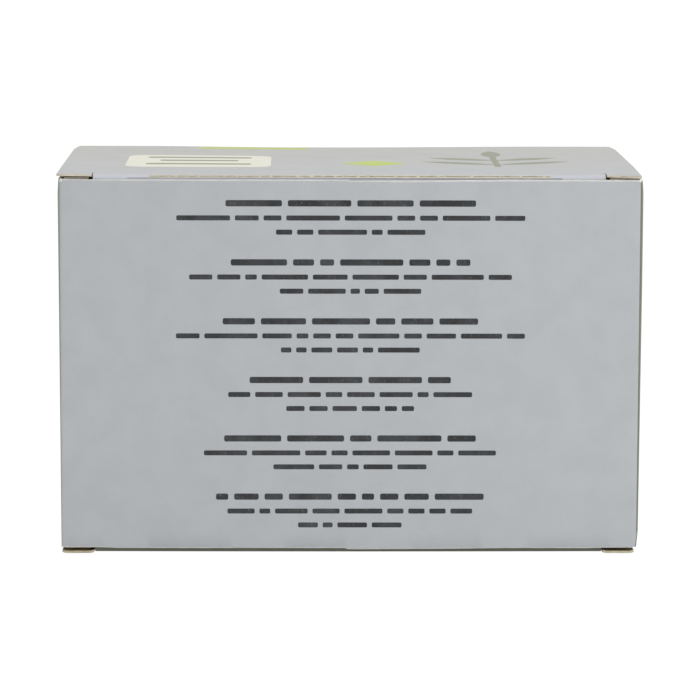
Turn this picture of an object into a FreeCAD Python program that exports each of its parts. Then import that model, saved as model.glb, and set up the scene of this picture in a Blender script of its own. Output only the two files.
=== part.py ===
"""A shut tuck-end tea carton as one solid, in millimetres.

+X is to the right of the near panel, +Y runs from the near panel to the far panel, and +Z is up.
The origin is on the floor, under the middle of the carton.

The near panel has raw edges at its top and bottom. The lid and the base hinge on the far panel,
and each folds over the dust flaps and tucks in behind the near panel. At each near corner a slit
leaves the closure's raw edge free over a small open gap: the slit lock.
"""

import FreeCAD, Part
import Sketcher
import math
import os

NODE = "tea_carton"

# name: (value in mm, what it is)
SIZES = {
    "panel_width": (128.0, "near and far panels, upright fold to upright fold"),
    "panel_height": (82.3, "near panel, raw edge to raw edge"),
    "side_depth": (78.0, "side panels, near face to far face"),
    "board": (0.5, "thickness of the board"),
    "closure_rise": (1.3, "outer face of the lid or base beyond the near panel's raw edge"),
    "upright_fold": (0.6, "outer radius of the four upright folds"),
    "flap_fold": (0.45, "bevel where a side panel turns into its dust flap"),
    "hinge_fold": (0.45, "outer radius where the far panel turns into the lid or base"),
    "tuck_fold": (1.0, "outer radius where the lid or base turns into its tuck"),
    "bow_top": (1.35, "side panels stand out by this at the lid"),
    "bow_full": (1.6, "side panels stand out by this where they are fullest"),
    "bow_base": (0.5, "side panels stand out by this at the base"),
    "bow_level": (58.0, "height at which the side panels are fullest"),
    "bow_run": (13.0, "distance from an upright fold to where the side panel has come out"),
    "lid_overhang": (0.6, "lid beyond the upright folds, each side"),
    "base_overhang": (-0.15, "base beyond the upright folds, each side: it lies just inside them"),
    "relief_length": (11.0, "taper at the hinge end of the lid and base, along the side"),
    "relief_width": (0.7, "the same taper, across the side"),
    "lock_corner": (0.7, "corner radius of the free lid and base corners"),
    "lock_width": (7.3, "slit lock, from the upright fold inwards"),
    "lock_depth": (3.0, "open gap of the slit lock, from the near face inwards"),
    "return_length": (5.0, "short cut from the near edge into the lid or base"),
    "return_width": (0.25, "width of that cut"),
    "edge_step": (0.2, "right half of the near panel sits lower by this"),
}

TOP = "top"
BOTTOM = "bottom"

# heights worked out from the sheet, as expressions
TOTAL_HEIGHT = "(sizes.panel_height + 2 * sizes.closure_rise)"
LID_UNDERSIDE = f"({TOTAL_HEIGHT} - sizes.board)"
NEAR_TOP_EDGE = "(sizes.closure_rise + sizes.panel_height)"
NEAR_BOTTOM_EDGE = "sizes.closure_rise"
NEAR_FACE = "(-sizes.side_depth / 2)"
LOCK_INNER = "(sizes.panel_width / 2 - sizes.lock_width)"
CUT_MARGIN = 5.0  # how far a cut runs past the carton's side


def make_sheet(doc):
    """Write the driving sizes into a spreadsheet, one alias a row."""
    sheet = doc.addObject("Spreadsheet::Sheet", "sizes")
    for row, (name, (value, meaning)) in enumerate(SIZES.items(), start=1):
        sheet.set(f"A{row}", name)
        sheet.set(f"B{row}", str(value))
        sheet.set(f"C{row}", meaning)
        sheet.setAlias(f"B{row}", name)
    doc.recompute()
    return sheet


def origin_plane(body, role):
    """Return the body's own origin plane with this role."""
    for feature in body.Origin.OriginFeatures:
        if feature.Role == role:
            return feature
    raise ValueError(f"no origin plane {role}")


def new_sketch(body, name, level):
    """Start a sketch that lies level, at a height given by an expression."""
    sketch = body.newObject("Sketcher::SketchObject", name)
    sketch.AttachmentSupport = [(origin_plane(body, "XY_Plane"), "")]
    sketch.MapMode = "FlatFace"
    sketch.setExpression("AttachmentOffset.Base.z", level)
    return sketch


def bind(sketch, constraint, name, expression):
    """Add a named size constraint and tie its value to the sheet."""
    index = sketch.addConstraint(constraint)
    sketch.renameConstraint(index, name)
    sketch.setExpression(f"Constraints.{name}", expression)


def bowed_section(body, sheet, name, level, bow_expression, bow):
    """Draw the carton's level outline, with side panels that stand out by a bow.

    The outline runs anticlockwise: the near line, five edges up the right side, the far line, and
    five edges down the left side. A side is a fold arc, a large arc that leads out to the bow, a
    straight run, and the same two arcs back. All of them meet smoothly.
    """
    sketch = new_sketch(body, name, level)
    fold = sheet.upright_fold
    half_width = sheet.panel_width / 2
    half_depth = sheet.side_depth / 2
    lead = sheet.bow_run - fold
    # the fold arc touches the large arc from inside, so their centres lie this far apart
    centres_apart = (bow * bow + lead * lead) / (2 * bow)
    large = centres_apart + fold
    sweep = math.asin(lead / centres_apart)
    out = half_width + bow
    straight = half_depth - sheet.bow_run
    fold_x = half_width - fold
    fold_y = half_depth - fold

    def line(start_x, start_y, end_x, end_y):
        start = FreeCAD.Vector(start_x, start_y, 0)
        end = FreeCAD.Vector(end_x, end_y, 0)
        sketch.addGeometry(Part.LineSegment(start, end), False)

    def arc(centre_x, centre_y, radius, first, last):
        circle = Part.Circle(FreeCAD.Vector(centre_x, centre_y, 0), FreeCAD.Vector(0, 0, 1), radius)
        sketch.addGeometry(Part.ArcOfCircle(circle, first, last), False)

    for side, turn in ((1, 0.0), (-1, math.pi)):
        line(-side * fold_x, -side * half_depth, side * fold_x, -side * half_depth)
        arc(side * fold_x, -side * fold_y, fold, turn - math.pi / 2, turn - sweep)
        arc(side * (out - large), -side * straight, large, turn - sweep, turn)
        line(side * out, -side * straight, side * out, side * straight)
        arc(side * (out - large), side * straight, large, turn, turn + sweep)
        arc(side * fold_x, side * fold_y, fold, turn + sweep, turn + math.pi / 2)

    near, right, far, left = 0, 3, 6, 9
    for edge in range(12):
        sketch.addConstraint(Sketcher.Constraint("Tangent", edge, 2, (edge + 1) % 12, 1))
    for panel in (near, far):
        sketch.addConstraint(Sketcher.Constraint("Symmetric", panel, 1, panel, 2, -2))
        for fold_arc in (panel + 1, (panel - 1) % 12):
            bind(sketch, Sketcher.Constraint("Radius", fold_arc, fold),
                 f"fold_{fold_arc}", "sizes.upright_fold")
    for panel in (right, left):
        sketch.addConstraint(Sketcher.Constraint("Symmetric", panel, 1, panel, 2, -1))
    bind(sketch, Sketcher.Constraint("DistanceX", near, 1, near, 2, 2 * fold_x),
         "near_width", "sizes.panel_width - 2 * sizes.upright_fold")
    bind(sketch, Sketcher.Constraint("DistanceX", far, 2, far, 1, 2 * fold_x),
         "far_width", "sizes.panel_width - 2 * sizes.upright_fold")
    bind(sketch, Sketcher.Constraint("DistanceY", near, 2, -1, 1, half_depth),
         "near_distance", "sizes.side_depth / 2")
    bind(sketch, Sketcher.Constraint("DistanceY", -1, 1, far, 1, half_depth),
         "far_distance", "sizes.side_depth / 2")
    bind(sketch, Sketcher.Constraint("DistanceX", -1, 1, right, 1, out),
         "right_out", f"sizes.panel_width / 2 + {bow_expression}")
    bind(sketch, Sketcher.Constraint("DistanceX", left, 1, -1, 1, out),
         "left_out", f"sizes.panel_width / 2 + {bow_expression}")
    bind(sketch, Sketcher.Constraint("DistanceY", near, 2, right, 1, sheet.bow_run),
         "right_run", "sizes.bow_run")
    bind(sketch, Sketcher.Constraint("DistanceY", near, 1, left, 2, sheet.bow_run),
         "left_run", "sizes.bow_run")
    return sketch


def closure_outline(body, sheet, name, level, overhang_name):
    """Draw the lid or the base: rounded free corners, and sides that taper in to the hinge."""
    sketch = new_sketch(body, name, level)
    corner = sheet.lock_corner
    half_depth = sheet.side_depth / 2
    half_width = sheet.panel_width / 2 + sheet.get(overhang_name)
    hinge_half = half_width - sheet.relief_width
    corner_x = half_width - corner
    corner_y = half_depth - corner
    taper_start = half_depth - sheet.relief_length

    def line(start_x, start_y, end_x, end_y):
        start = FreeCAD.Vector(start_x, start_y, 0)
        end = FreeCAD.Vector(end_x, end_y, 0)
        sketch.addGeometry(Part.LineSegment(start, end), False)

    def corner_arc(centre_x, first):
        circle = Part.Circle(FreeCAD.Vector(centre_x, -corner_y, 0), FreeCAD.Vector(0, 0, 1), corner)
        sketch.addGeometry(Part.ArcOfCircle(circle, first, first + math.pi / 2), False)

    line(-corner_x, -half_depth, corner_x, -half_depth)
    corner_arc(corner_x, -math.pi / 2)
    line(half_width, -corner_y, half_width, taper_start)
    line(half_width, taper_start, hinge_half, half_depth)
    line(hinge_half, half_depth, -hinge_half, half_depth)
    line(-hinge_half, half_depth, -half_width, taper_start)
    line(-half_width, taper_start, -half_width, -corner_y)
    corner_arc(-corner_x, math.pi)

    near, right_corner, right, right_taper, hinge, _, left, left_corner = range(8)
    for first, second in ((near, right_corner), (right_corner, right), (left, left_corner),
                          (left_corner, near)):
        sketch.addConstraint(Sketcher.Constraint("Tangent", first, 2, second, 1))
    for edge in (right, right_taper, hinge, hinge + 1):
        sketch.addConstraint(Sketcher.Constraint("Coincident", edge, 2, edge + 1, 1))
    sketch.addConstraint(Sketcher.Constraint("Vertical", right))
    sketch.addConstraint(Sketcher.Constraint("Symmetric", near, 1, near, 2, -2))
    sketch.addConstraint(Sketcher.Constraint("Symmetric", hinge, 1, hinge, 2, -2))
    sketch.addConstraint(Sketcher.Constraint("Symmetric", right, 2, left, 1, -2))
    for arc in (right_corner, left_corner):
        bind(sketch, Sketcher.Constraint("Radius", arc, corner), f"corner_{arc}", "sizes.lock_corner")
    bind(sketch, Sketcher.Constraint("DistanceX", left, 1, right, 2, 2 * half_width),
         "closure_width", f"sizes.panel_width + 2 * sizes.{overhang_name}")
    bind(sketch, Sketcher.Constraint("DistanceX", hinge, 2, hinge, 1, 2 * hinge_half),
         "hinge_width", f"sizes.panel_width + 2 * sizes.{overhang_name} - 2 * sizes.relief_width")
    bind(sketch, Sketcher.Constraint("DistanceY", near, 2, -1, 1, half_depth),
         "near_distance", "sizes.side_depth / 2")
    bind(sketch, Sketcher.Constraint("DistanceY", -1, 1, hinge, 1, half_depth),
         "hinge_distance", "sizes.side_depth / 2")
    bind(sketch, Sketcher.Constraint("DistanceY", right_taper, 1, right_taper, 2, sheet.relief_length),
         "relief", "sizes.relief_length")
    return sketch


def block(body, kind, name, low, size):
    """Add or cut a box given by expressions for its low corner and its size."""
    box = body.newObject(f"PartDesign::{kind}Box", name)
    box.AttachmentSupport = [(origin_plane(body, "XY_Plane"), "")]
    box.MapMode = "FlatFace"
    for axis, expression in zip("xyz", low):
        box.setExpression(f"AttachmentOffset.Base.{axis}", expression)
    for side, expression in zip(("Length", "Width", "Height"), size):
        box.setExpression(side, expression)
    return box


def round_edges(doc, body, name, radius_expression, start_radius, chosen):
    """Fillet the edges of the body's present shape for which chosen(edge) is true."""
    doc.recompute()
    base = body.Tip
    names = [f"Edge{number}" for number, edge in enumerate(base.Shape.Edges, start=1) if chosen(edge)]
    if not names:
        raise ValueError(f"{name} found no edge")
    fillet = body.newObject("PartDesign::Fillet", name)
    fillet.Base = (base, names)
    fillet.Radius = start_radius
    fillet.setExpression("Radius", radius_expression)
    doc.recompute()
    return fillet


def near_to(value, target):
    """Say whether two lengths agree to a hundredth of a millimetre."""
    return abs(value - target) < 0.01


def add_walls(doc, body, sheet):
    """Build the four panels and the dust flaps as one bowed block with rounded folds.

    At the lid and at the base the side panels lean in over the flap fold.
    """
    shoulder = "sizes.flap_fold"
    outlines = [
        ("base_flaps", "sizes.board", f"sizes.bow_base - {shoulder}",
         sheet.bow_base - sheet.flap_fold),
        ("base_shoulder", f"sizes.board + {shoulder}", "sizes.bow_base", sheet.bow_base),
        ("fullest", "sizes.bow_level", "sizes.bow_full", sheet.bow_full),
        ("lid_shoulder", f"{LID_UNDERSIDE} - {shoulder}", "sizes.bow_top", sheet.bow_top),
        ("lid_flaps", LID_UNDERSIDE, f"sizes.bow_top - {shoulder}", sheet.bow_top - sheet.flap_fold),
    ]
    sections = [
        bowed_section(body, sheet, name, level, bow_expression, bow)
        for name, level, bow_expression, bow in outlines
    ]
    doc.recompute()
    walls = body.newObject("PartDesign::AdditiveLoft", "walls")
    walls.Profile = sections[0]
    walls.Sections = sections[1:]
    walls.Ruled = True
    doc.recompute()


def add_closure(doc, body, sheet, end, level, overhang_name):
    """Lay the lid or the base on the dust flaps as a sheet of board."""
    outline = closure_outline(body, sheet, f"{end}_outline", level, overhang_name)
    doc.recompute()
    closure = body.newObject("PartDesign::Pad", f"{end}_closure")
    closure.Profile = outline
    closure.setExpression("Length", "sizes.board")
    closure.Refine = True
    doc.recompute()


def cut_locks(body, end):
    """Open the gap under both free corners of a closure, and cut the short returns."""
    gap_height = "(sizes.closure_rise - sizes.board)"
    gap_level = NEAR_TOP_EDGE if end == TOP else "sizes.board"
    closure_level = LID_UNDERSIDE if end == TOP else "0 mm"
    gap_length = f"(sizes.lock_width + {CUT_MARGIN})"
    for side, low in (("left", f"-{LOCK_INNER} - {gap_length}"), ("right", LOCK_INNER)):
        block(body, "Subtractive", f"{end}_{side}_gap",
              (low, NEAR_FACE, gap_level),
              (gap_length, "sizes.lock_depth", gap_height))
    for side, sign in (("left", "-"), ("right", "")):
        block(body, "Subtractive", f"{end}_{side}_return",
              (f"{sign}{LOCK_INNER} - sizes.return_width / 2", NEAR_FACE, closure_level),
              ("sizes.return_width", "sizes.return_length", "sizes.board"))


def cut_tuck(doc, body, sheet, end):
    """Set the tuck back by one board between the locks, and round its fold."""
    level = NEAR_TOP_EDGE if end == TOP else "0 mm"
    block(body, "Subtractive", f"{end}_tuck_setback",
          (f"-{LOCK_INNER}", NEAR_FACE, level),
          (f"2 * {LOCK_INNER}", "sizes.board", "sizes.closure_rise"))
    outer = sheet.panel_height + 2 * sheet.closure_rise if end == TOP else 0.0
    tuck_face = -sheet.side_depth / 2 + sheet.board

    def at_fold(edge):
        box = edge.BoundBox
        along = box.XLength > sheet.panel_width / 2
        return along and near_to(box.YMin, tuck_face) and near_to(box.ZMin, outer) and box.ZLength < 0.01

    round_edges(doc, body, f"{end}_tuck_fold", "sizes.tuck_fold", sheet.tuck_fold, at_fold)


def step_near_panel(body):
    """Lower the right half of the near panel's top edge, and let its bottom edge down as far."""
    half = "(sizes.panel_width / 2 - sizes.upright_fold)"
    block(body, "Subtractive", "near_top_step",
          ("0 mm", NEAR_FACE, f"{NEAR_TOP_EDGE} - sizes.edge_step"),
          (half, "sizes.board", "sizes.edge_step"))
    block(body, "Additive", "near_bottom_step",
          ("0 mm", NEAR_FACE, f"{NEAR_BOTTOM_EDGE} - sizes.edge_step"),
          (half, "sizes.board", "sizes.edge_step"))


def round_hinges(doc, body, sheet):
    """Round the folds where the far panel turns into the lid and the base."""
    half_depth = sheet.side_depth / 2
    total = sheet.panel_height + 2 * sheet.closure_rise

    def at_hinge(edge):
        box = edge.BoundBox
        along = box.XLength > sheet.panel_width / 2 and box.ZLength < 0.01
        return along and near_to(box.YMin, half_depth) and (near_to(box.ZMin, 0) or near_to(box.ZMin, total))

    round_edges(doc, body, "hinge_folds", "sizes.hinge_fold", sheet.hinge_fold, at_hinge)


def check_document(doc, node):
    """Stop if any object failed, or if the node isn't one valid solid."""
    for item in doc.Objects:
        faults = [state for state in item.State if state in ("Invalid", "Error")]
        if faults:
            raise RuntimeError(f"{item.Label} is {faults}")
    shape = node.Shape
    if shape.isNull() or not shape.isValid() or len(shape.Solids) != 1:
        raise RuntimeError(f"{node.Label} is not one valid solid")


def main():
    """Build the carton, check it and write its STEP file."""
    doc = FreeCAD.newDocument("tea_carton_model")
    sheet = make_sheet(doc)
    body = doc.addObject("PartDesign::Body", NODE)
    body.Label = NODE
    body.Placement = FreeCAD.Placement()

    add_walls(doc, body, sheet)
    add_closure(doc, body, sheet, TOP, LID_UNDERSIDE, "lid_overhang")
    add_closure(doc, body, sheet, BOTTOM, "0 mm", "base_overhang")
    round_hinges(doc, body, sheet)
    for end in (TOP, BOTTOM):
        cut_tuck(doc, body, sheet, end)
        cut_locks(body, end)
    step_near_panel(body)
    doc.recompute()

    check_document(doc, body)
    os.makedirs("parts", exist_ok=True)
    body.Shape.exportStep(f"parts/{body.Label}.step")
    box = body.Shape.BoundBox
    print(f"{body.Label}: {box.XLength:.2f} x {box.YLength:.2f} x {box.ZLength:.2f} mm, "
          f"volume {body.Shape.Volume:.0f} mm3, faces {len(body.Shape.Faces)}")


main()
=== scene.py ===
"""Looks of a shut tuck-end tea carton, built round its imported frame.

The carton is folded from one sheet of board. Here the sheet is made as a sleeve of four panels with
their dust flaps, and a lid and a base that hinge on the far panel and tuck in behind the near one.
Ink lies on it as thin shapes. Lengths are in metres: +X to the right of the near panel, +Y away
from it, +Z up.
"""

import logging
import math
import random
from dataclasses import dataclass, field
from enum import Enum
from functools import cached_property
from typing import Callable, Sequence

import bmesh
import bpy
from mathutils import Matrix, Vector


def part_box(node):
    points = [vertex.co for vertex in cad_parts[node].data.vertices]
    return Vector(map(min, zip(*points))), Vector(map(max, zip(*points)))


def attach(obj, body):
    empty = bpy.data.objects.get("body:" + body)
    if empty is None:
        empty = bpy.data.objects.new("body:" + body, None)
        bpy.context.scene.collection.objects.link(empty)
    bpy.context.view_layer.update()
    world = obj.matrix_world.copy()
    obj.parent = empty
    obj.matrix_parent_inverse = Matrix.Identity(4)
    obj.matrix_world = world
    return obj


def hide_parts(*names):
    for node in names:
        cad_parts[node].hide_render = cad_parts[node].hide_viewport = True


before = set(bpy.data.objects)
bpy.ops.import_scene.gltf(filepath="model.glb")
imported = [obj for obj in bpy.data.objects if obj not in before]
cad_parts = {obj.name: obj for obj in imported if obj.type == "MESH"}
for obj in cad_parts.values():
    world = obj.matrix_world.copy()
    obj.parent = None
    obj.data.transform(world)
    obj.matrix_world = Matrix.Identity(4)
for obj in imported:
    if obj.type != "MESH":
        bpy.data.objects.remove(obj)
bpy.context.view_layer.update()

LOG = logging.getLogger("tea_carton")
MM = 0.001
NODE = "tea_carton"
BODY = "root"

TOUCH = 0.01 * MM
ARRIS = 0.05 * MM
COATED, UNCOATED = 1.46, 1.4

X, Y, Z = Vector((1, 0, 0)), Vector((0, 1, 0)), Vector((0, 0, 1))

Piece = bpy.types.Object
Spot = Sequence[float]
Pair = tuple[float, float]
Level = tuple[int, int, int]
Colour = tuple[float, float, float, float]


def srgb(red: int, green: int, blue: int) -> Colour:
    """Turn a screen colour, 0 to 255, into a linear one."""
    def linear(level: int) -> float:
        """Undo the screen's curve for one channel."""
        share = level / 255
        return share / 12.92 if share <= 0.04045 else ((share + 0.055) / 1.055) ** 2.4
    return (linear(red), linear(green), linear(blue), 1.0)


def grey(level: float) -> Colour:
    """Return a linear grey."""
    return (level, level, level, 1.0)


WHITE = grey(1.0)


def smooth(low: float, high: float, value: float) -> float:
    """Rise smoothly from 0 at low to 1 at high."""
    share = min(max((value - low) / (high - low), 0.0), 1.0)
    return share * share * (3 - 2 * share)


# Shader building


def arithmetic(operation: str, reflected: bool = False) -> Callable[..., "Wire"]:
    """Make an operator that adds one Math node, with its two values swapped if reflected."""
    def apply(wire: "Wire", other: "Wire | float") -> "Wire":
        """Add the node."""
        inputs = {0: other, 1: wire} if reflected else {0: wire, 1: other}
        return wire.shader.node("ShaderNodeMath", {"operation": operation}, inputs)
    return apply


class Wire:
    """An output socket that takes part in arithmetic, each step as a Math node."""

    def __init__(self, shader: "Shader", socket: bpy.types.NodeSocket) -> None:
        """Wrap a socket of a shader's tree."""
        self.shader = shader
        self.socket = socket

    __add__ = __radd__ = arithmetic("ADD")
    __sub__ = arithmetic("SUBTRACT")
    __rsub__ = arithmetic("SUBTRACT", reflected=True)
    __mul__ = __rmul__ = arithmetic("MULTIPLY")

    def between(self, low: float, high: float) -> "Wire":
        """Rise smoothly from 0 at low to 1 at high."""
        settings = {"interpolation_type": "SMOOTHSTEP"}
        inputs = {"Value": self, "From Min": low, "From Max": high}
        return self.shader.node("ShaderNodeMapRange", settings, inputs)


class Shader:
    """The node tree of a material or of the world, emptied and filled again."""

    def __init__(self, name: str, world: bool = False) -> None:
        """Start a material or a world with an output and nothing else."""
        owner = (bpy.data.worlds if world else bpy.data.materials).new(name)
        self.owner = owner
        owner.use_nodes = True
        self.tree = owner.node_tree
        self.tree.nodes.clear()
        kind = "World" if world else "Material"
        self.output = self.tree.nodes.new("ShaderNodeOutput" + kind)

    def node(self, kind: str, settings: dict, inputs: dict, output: int | str = 0) -> Wire:
        """Add a node.

        Args:
            kind: the node's type.
            settings: what is set on the node before its sockets.
            inputs: values or wires, by the socket's name or number.
            output: the output socket to return.

        Returns:
            The chosen output as a wire.
        """
        made = self.tree.nodes.new(kind)
        for name, value in settings.items():
            setattr(made, name, value)
        for key, value in inputs.items():
            if isinstance(value, Wire):
                self.tree.links.new(value.socket, made.inputs[key])
            else:
                made.inputs[key].default_value = value
        return Wire(self, made.outputs[output])

    def place(self) -> Wire:
        """Return the point on the object."""
        return self.node("ShaderNodeTexCoord", {}, {}, "Object")

    def noise(self, scale: float, detail: float = 2.0, stretch: Spot = (1, 1, 1)) -> Wire:
        """Return a cloud pattern from 0 to 1, with this many lumps in a metre."""
        spread = self.node("ShaderNodeMapping", {}, {"Vector": self.place(), "Scale": stretch})
        inputs = {"Vector": spread, "Scale": scale, "Detail": detail, "Roughness": 0.55}
        return self.node("ShaderNodeTexNoise", {}, inputs, "Fac")

    def mix(self, share: "Wire | float", first: "Wire | Colour", second: "Wire | Colour") -> Wire:
        """Blend two colours."""
        return self.node("ShaderNodeMix", {"data_type": "RGBA"}, {0: share, 6: first, 7: second}, 2)

    def tint(self, first: Wire, second: Wire) -> Wire:
        """Multiply two colours."""
        settings = {"data_type": "RGBA", "blend_type": "MULTIPLY"}
        return self.node("ShaderNodeMix", settings, {0: 1.0, 6: first, 7: second}, 2)

    def bump(self, height: Wire, depth: float, strength: float) -> Wire:
        """Turn a height from 0 to 1 into a surface relief of this depth."""
        inputs = {"Strength": strength, "Distance": depth, "Height": height}
        return self.node("ShaderNodeBump", {}, inputs)

    def coat(self, colour: Wire, roughness: "Wire | float", gloss: float, normal: Wire) -> Wire:
        """Return a plain surface of this colour, roughness, gloss (as an index) and relief."""
        return self.node("ShaderNodeBsdfPrincipled", {}, {
            "Base Color": colour, "Roughness": roughness, "IOR": gloss, "Normal": normal})

    def finish(self, surface: Wire) -> bpy.types.ID:
        """Join the surface to the output."""
        self.tree.links.new(surface.socket, self.output.inputs["Surface"])
        return self.owner


@dataclass(frozen=True)
class PrintedBoard:
    """Clay-coated board under one ink: faint clouds, paper grain and a dull sheen, with its colour
    drifting from low to high along one axis as painted light.
    """

    low: Level
    high: Level
    axis: str = "X"
    span: float = 39 * MM
    cloud: float = 0.028
    grain: float = 0.04
    roughness: float = 0.48
    roughness_range: float = 0.1
    relief: float = 0.012 * MM

    def material(self, name: str) -> bpy.types.Material:
        """Build the material."""
        shader = Shader(name)
        clouds = shader.noise(150, 3)
        fibres = shader.noise(2600, 2, (1.0, 1.0, 0.45))
        place = shader.node("ShaderNodeSeparateXYZ", {}, {0: shader.place()}, self.axis)
        # Painted light: a gradient from low to high across the panel, either a painted fall of
        # light or a painted reflection's tint.
        painted_light_drift = shader.mix(place.between(-self.span, self.span), srgb(*self.low), srgb(*self.high))
        cloudy = shader.mix(clouds.between(0.25, 0.75), grey(1 - 2 * self.cloud), WHITE)
        speckle = shader.mix(fibres.between(0.52, 0.74) * 0.55, WHITE, grey(1 - self.grain))
        return shader.finish(shader.coat(
            shader.tint(shader.tint(painted_light_drift, cloudy), speckle),
            self.roughness + self.roughness_range * fibres, COATED,
            shader.bump(fibres + 0.6 * clouds, self.relief, 0.5)))


@dataclass(frozen=True)
class RawBoard:
    """A cut edge of board: recycled greyish plies with loose pale fibres."""

    pale: Level
    deep: Level
    relief: float = 0.05 * MM

    def material(self, name: str) -> bpy.types.Material:
        """Build the material."""
        shader = Shader(name)
        plies = shader.noise(1500, 3, (0.35, 0.35, 3.0))
        specks = shader.noise(4200, 2)
        deep = srgb(*self.deep)
        plied = shader.mix(plies.between(0.34, 0.66), deep, srgb(*self.pale))
        return shader.finish(shader.coat(
            shader.mix(specks.between(0.6, 0.78) * 0.5, plied, deep),
            0.82 + 0.1 * specks, UNCOATED,
            shader.bump(plies + 0.5 * specks, self.relief, 0.7)))


@dataclass(frozen=True)
class Ink:
    """A printed shape: solid ink that lets a little of the board's grain through."""

    full: Level
    thin: Level
    roughness: float = 0.42
    relief: float = 0.01 * MM

    def material(self, name: str) -> bpy.types.Material:
        """Build the material."""
        shader = Shader(name)
        grain = shader.noise(2600, 2, (1.0, 1.0, 0.45))
        clouds = shader.noise(220, 2)
        worn = grain.between(0.55, 0.8) * 0.16 + clouds.between(0.3, 0.8) * 0.07
        return shader.finish(shader.coat(
            shader.mix(worn, srgb(*self.full), srgb(*self.thin)),
            self.roughness + 0.08 * grain, COATED, shader.bump(grain, self.relief, 0.4)))


@dataclass(frozen=True)
class PaleFloor:
    """A white floor that shows white to the eye and keeps a soft shadow."""

    shadow_share: float = 0.08
    brightness: float = 1.06

    def material(self, name: str) -> bpy.types.Material:
        """Build the material."""
        shader = Shader(name)
        paper = shader.noise(30, 2)
        tone = shader.mix(paper.between(0.3, 0.7), grey(0.94), grey(0.97))
        matt = shader.node("ShaderNodeBsdfPrincipled", {}, {"Base Color": tone, "Roughness": 0.9})
        glow = shader.node("ShaderNodeEmission", {}, {"Color": WHITE, "Strength": self.brightness})
        seen = seen_share(shader) * (1 - self.shadow_share)
        return shader.finish(shader.node("ShaderNodeMixShader", {}, {0: seen, 1: matt, 2: glow}))


def seen_share(shader: Shader) -> Wire:
    """Return 1 for what the eye meets directly, in a gloss or through glass, and 0 for light."""
    rays = [shader.node("ShaderNodeLightPath", {}, {}, name)
            for name in ("Is Camera Ray", "Is Glossy Ray", "Is Transmission Ray")]
    either = shader.node("ShaderNodeMath", {"operation": "MAXIMUM"}, {0: rays[0], 1: rays[1]})
    return shader.node("ShaderNodeMath", {"operation": "MAXIMUM"}, {0: either, 1: rays[2]})


BOARD = (182, 185, 189)
# Painted highlight: a lighter tone for the lid's rounded tuck fold.
FOLD = (193, 195, 202)
OLIVE = (114, 118, 98)
# Painted shade: a darker olive for the base's tuck fold, which lies in shade by the floor.
SHADED_OLIVE = (92, 94, 78)


class Finish(Enum):
    """Every finish of the carton; its material has the finish's name."""

    # Painted light: the near panel's grey is a little darker at the left and lighter at the right.
    GREY_BOARD = PrintedBoard((179, 182, 185), (183, 187, 190), span=64 * MM)
    # Painted reflection: the lid is cooler at the front and warmer towards the hinge.
    LID_BOARD = PrintedBoard((184, 185, 186), (184, 185, 180), axis="Y")
    # Painted highlight on the lid's tuck fold.
    FOLD_HIGHLIGHT_BOARD = PrintedBoard(FOLD, FOLD)
    # Painted shade on the base's tuck fold.
    BASE_FOLD_PAINTED_SHADE = PrintedBoard(SHADED_OLIVE, SHADED_OLIVE, grain=0.2)
    OLIVE_BOARD = PrintedBoard(OLIVE, OLIVE, grain=0.07)
    # Painted shade: the base's raw edges are a darker, yellower copy of the raw board edge.
    SHADED_BASE_RAW_EDGE = RawBoard((200, 196, 172), (168, 162, 136))
    RAW_BOARD_EDGE = RawBoard((208, 203, 190), (176, 166, 146))
    # Painted highlight: a pale grey for the near panel's rounded top and bottom rims.
    PANEL_RIM_HIGHLIGHT = RawBoard((213, 213, 213), (198, 198, 196))
    INNER_BOARD = RawBoard((182, 154, 116), (148, 122, 86))
    SCORED_FOLD = RawBoard((209, 206, 190), (190, 185, 166))
    FRAYED_FIBRE = RawBoard((244, 242, 236), (228, 222, 210))
    # Painted shade: raw board darkened to show the shade inside the opened cut score.
    CUT_SLIT_SHADE = RawBoard((140, 118, 92), (96, 78, 58))
    CREASE_SHADE = Ink((138, 138, 146), (160, 160, 166))
    BLACK_INK = Ink((29, 30, 32), BOARD)
    SAGE_INK = Ink((128, 133, 106), BOARD)
    LIME_INK = Ink((176, 194, 74), (205, 212, 150))
    CREAM_INK = Ink((225, 224, 207), BOARD)
    PALE_FLOOR = PaleFloor()

    @cached_property
    def material(self) -> bpy.types.Material:
        """Build the material once."""
        return self.value.material(self.name.lower())


def dress(piece: Piece, *finishes: Finish) -> None:
    """Give a piece its material slots, in this order."""
    for finish in finishes:
        piece.data.materials.append(finish.material)


# The bench: a mesh in edit mode, shaped by operators


def pick(piece: Piece) -> None:
    """Select this piece alone."""
    bpy.ops.object.select_all(action="DESELECT")
    bpy.context.view_layer.objects.active = piece
    piece.select_set(True)


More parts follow.
